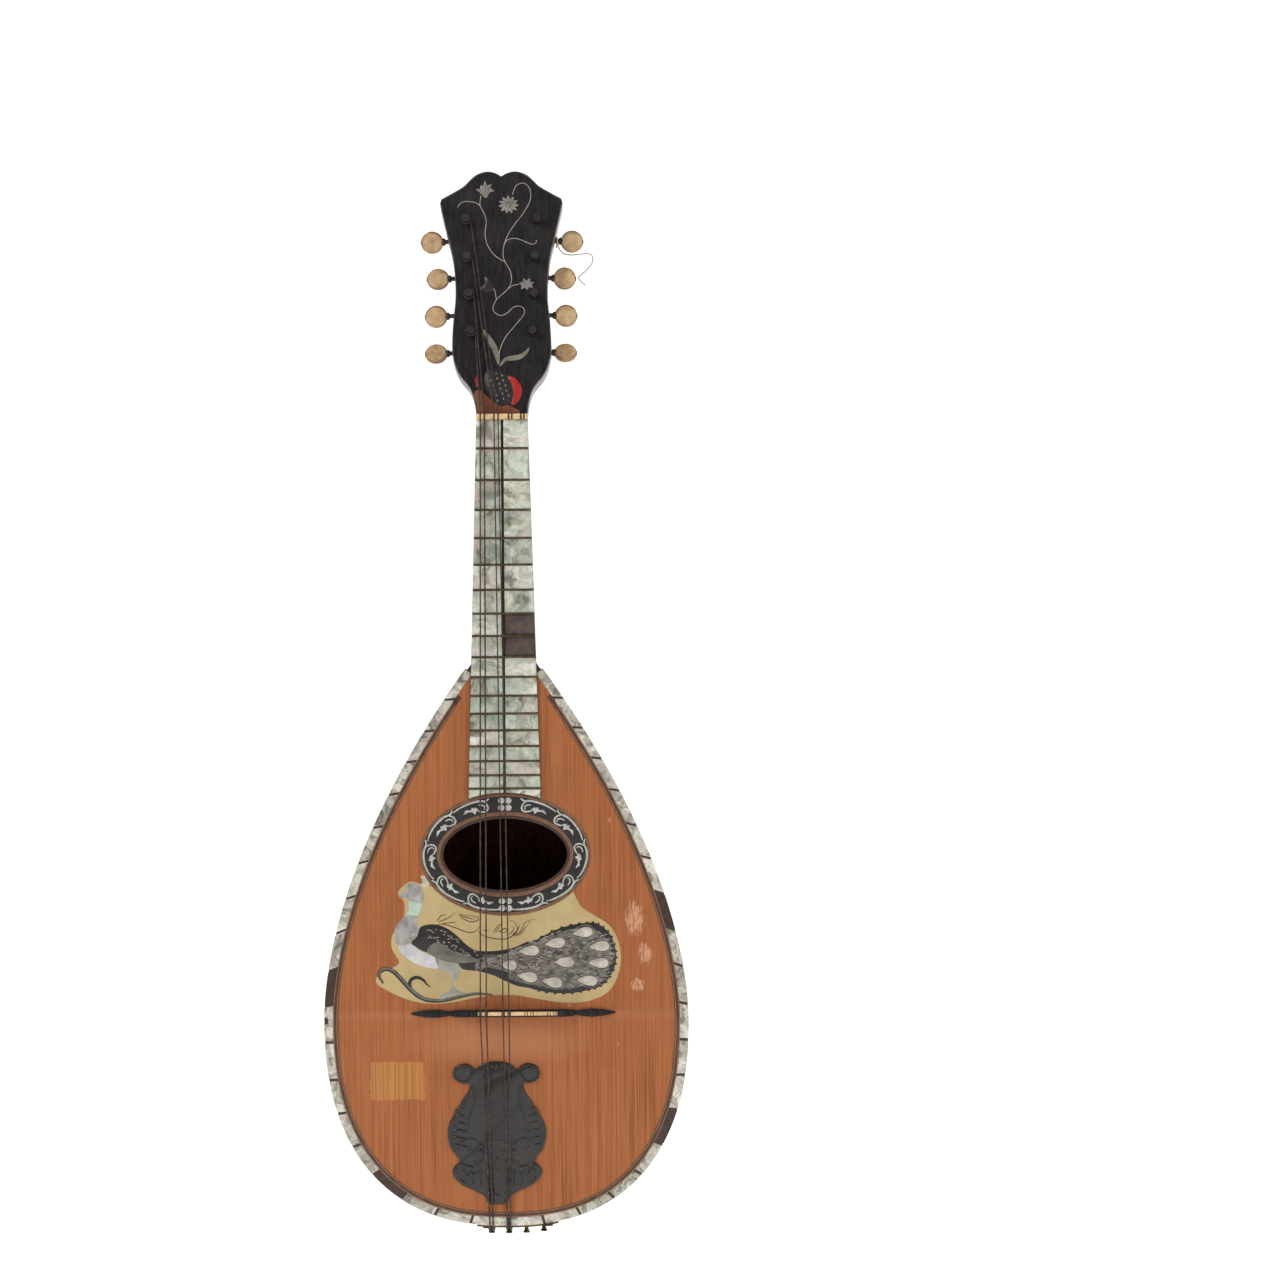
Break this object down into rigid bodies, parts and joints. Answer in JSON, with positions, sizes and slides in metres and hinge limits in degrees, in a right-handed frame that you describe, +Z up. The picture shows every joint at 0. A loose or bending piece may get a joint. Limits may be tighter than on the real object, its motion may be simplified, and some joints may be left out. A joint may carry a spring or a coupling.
{
  "type": "bowl-back mandolin",
  "caption": "Neapolitan bowl-back mandolin with bent soundboard, pearl-edged body, geared tuners, floating bridge and an inlaid guard.",
  "frame": {"origin": "centre line of the instrument in the plane of the soundboard, inside the nut at the throat of the head, where a wall hanger carries it", "axes": "+Z up the neck towards the head, -Y out of the soundboard, +X to the treble side"},
  "size_m": [0.2046, 0.147, 0.5996],
  "materials": {
    "soundboard_spruce": "thin worn varnish over straight vertical grain",
    "rosewood": "satin varnish, dark red-brown with black streaks",
    "inner_wood": "bare wood",
    "pearl": "polished mother-of-pearl, grey-green and cream",
    "dark_inlay": "fine dark and brown lines",
    "black_mastic": "black filler polished flush, with silver scrolls",
    "ochre_plate": "polished pale tortoise-coloured plate with inlay",
    "ebony": "worn black polish",
    "bone": "aged bone, stained at the edges",
    "black_shell": "moulded black, low relief",
    "aged_brass": "tarnished",
    "fret_brass": "dull, worn tops",
    "string_wire": "rusted wire",
    "dark_steel": "dark, lightly rusted",
    "cotton": "off-white twisted thread"
  },
  "bodies": {
    "root": {"soundboard": "soundboard_spruce", "bowl_ribs": "rosewood", "end_clasp": "rosewood", "neck_block": "inner_wood", "tail_block": "inner_wood", "linings": "inner_wood", "braces": "inner_wood", "edge_binding": "pearl", "purfling": "dark_inlay", "rosette": "black_mastic", "pickguard": "ochre_plate", "lyre_guard": "black_shell", "tailpiece": "aged_brass", "hitch_pins": "aged_brass", "neck": "rosewood", "headstock": "rosewood", "head_veneer": "ebony", "fingerboard": "ebony", "frets": "fret_brass", "pearl_plates": "pearl", "nut": "bone", "strings": "string_wire", "tuner_plates": "aged_brass", "screws": "aged_brass", "loose_thread": "cotton"},
    "bridge": {"bridge_base": "ebony", "bridge_saddle": "bone"},
    "shaft_bass_1": {"worm_bass_1": "dark_steel", "button_bass_1": "bone"},
    "post_bass_1": {"post_bass_1": "dark_steel", "gear_bass_1": "aged_brass"},
    "shaft_bass_2": {"worm_bass_2": "dark_steel", "button_bass_2": "bone"},
    "post_bass_2": {"post_bass_2": "dark_steel", "gear_bass_2": "aged_brass"},
    "shaft_bass_3": {"worm_bass_3": "dark_steel", "button_bass_3": "bone"},
    "post_bass_3": {"post_bass_3": "dark_steel", "gear_bass_3": "aged_brass"},
    "shaft_bass_4": {"worm_bass_4": "dark_steel", "button_bass_4": "bone"},
    "post_bass_4": {"post_bass_4": "dark_steel", "gear_bass_4": "aged_brass"},
    "shaft_treble_1": {"worm_treble_1": "dark_steel", "button_treble_1": "bone"},
    "post_treble_1": {"post_treble_1": "dark_steel", "gear_treble_1": "aged_brass"},
    "shaft_treble_2": {"worm_treble_2": "dark_steel", "button_treble_2": "bone"},
    "post_treble_2": {"post_treble_2": "dark_steel", "gear_treble_2": "aged_brass"},
    "shaft_treble_3": {"worm_treble_3": "dark_steel", "button_treble_3": "bone"},
    "post_treble_3": {"post_treble_3": "dark_steel", "gear_treble_3": "aged_brass"},
    "shaft_treble_4": {"worm_treble_4": "dark_steel", "button_treble_4": "bone"},
    "post_treble_4": {"post_treble_4": "dark_steel", "gear_treble_4": "aged_brass"}
  },
  "joints": [
    {"name": "bridge_slide", "type": "slide", "parent": "root", "child": "bridge", "axis": [0, 0, 1], "range_m": [0, 0.003]},
    {"name": "shaft_bass_1_turn", "type": "hinge", "parent": "root", "child": "shaft_bass_1", "pos_m": [-0.01712, 0.02427, 0.03614], "axis": [0.9993, 0.008, 0.0375], "continuous": true},
    {"name": "post_bass_1_turn", "type": "hinge", "parent": "root", "child": "post_bass_1", "pos_m": [-0.0174, 0.00977, 0.04657], "axis": [0, -0.9781, 0.2079], "continuous": true},
    {"name": "shaft_bass_2_turn", "type": "hinge", "parent": "root", "child": "shaft_bass_2", "pos_m": [-0.01796, 0.02878, 0.05735], "axis": [0.9993, 0.008, 0.0375], "continuous": true},
    {"name": "post_bass_2_turn", "type": "hinge", "parent": "root", "child": "post_bass_2", "pos_m": [-0.01823, 0.01428, 0.06778], "axis": [0, -0.9781, 0.2079], "continuous": true},
    {"name": "shaft_bass_3_turn", "type": "hinge", "parent": "root", "child": "shaft_bass_3", "pos_m": [-0.01879, 0.03329, 0.07856], "axis": [0.9993, 0.008, 0.0375], "continuous": true},
    {"name": "post_bass_3_turn", "type": "hinge", "parent": "root", "child": "post_bass_3", "pos_m": [-0.01907, 0.01879, 0.08899], "axis": [0, -0.9781, 0.2079], "continuous": true},
    {"name": "shaft_bass_4_turn", "type": "hinge", "parent": "root", "child": "shaft_bass_4", "pos_m": [-0.01962, 0.03779, 0.09977], "axis": [0.9993, 0.008, 0.0375], "continuous": true},
    {"name": "post_bass_4_turn", "type": "hinge", "parent": "root", "child": "post_bass_4", "pos_m": [-0.0199, 0.0233, 0.1102], "axis": [0, -0.9781, 0.2079], "continuous": true},
    {"name": "shaft_treble_1_turn", "type": "hinge", "parent": "root", "child": "shaft_treble_1", "pos_m": [0.01712, 0.02427, 0.03614], "axis": [0.9993, -0.008, -0.0375], "continuous": true},
    {"name": "post_treble_1_turn", "type": "hinge", "parent": "root", "child": "post_treble_1", "pos_m": [0.0174, 0.00977, 0.04657], "axis": [0, 0.9781, -0.2079], "continuous": true},
    {"name": "shaft_treble_2_turn", "type": "hinge", "parent": "root", "child": "shaft_treble_2", "pos_m": [0.01796, 0.02878, 0.05735], "axis": [0.9993, -0.008, -0.0375], "continuous": true},
    {"name": "post_treble_2_turn", "type": "hinge", "parent": "root", "child": "post_treble_2", "pos_m": [0.01823, 0.01428, 0.06778], "axis": [0, 0.9781, -0.2079], "continuous": true},
    {"name": "shaft_treble_3_turn", "type": "hinge", "parent": "root", "child": "shaft_treble_3", "pos_m": [0.01879, 0.03329, 0.07856], "axis": [0.9993, -0.008, -0.0375], "continuous": true},
    {"name": "post_treble_3_turn", "type": "hinge", "parent": "root", "child": "post_treble_3", "pos_m": [0.01907, 0.01879, 0.08899], "axis": [0, 0.9781, -0.2079], "continuous": true},
    {"name": "shaft_treble_4_turn", "type": "hinge", "parent": "root", "child": "shaft_treble_4", "pos_m": [0.01962, 0.03779, 0.09977], "axis": [0.9993, -0.008, -0.0375], "continuous": true},
    {"name": "post_treble_4_turn", "type": "hinge", "parent": "root", "child": "post_treble_4", "pos_m": [0.0199, 0.0233, 0.1102], "axis": [0, 0.9781, -0.2079], "continuous": true}
  ],
  "couplings": [
    {"joint": "post_bass_1_turn", "follows": "shaft_bass_1_turn", "ratio": 0.071429},
    {"joint": "post_bass_2_turn", "follows": "shaft_bass_2_turn", "ratio": 0.071429},
    {"joint": "post_bass_3_turn", "follows": "shaft_bass_3_turn", "ratio": 0.071429},
    {"joint": "post_bass_4_turn", "follows": "shaft_bass_4_turn", "ratio": 0.071429},
    {"joint": "post_treble_1_turn", "follows": "shaft_treble_1_turn", "ratio": 0.071429},
    {"joint": "post_treble_2_turn", "follows": "shaft_treble_2_turn", "ratio": 0.071429},
    {"joint": "post_treble_3_turn", "follows": "shaft_treble_3_turn", "ratio": 0.071429},
    {"joint": "post_treble_4_turn", "follows": "shaft_treble_4_turn", "ratio": 0.071429}
  ]
}
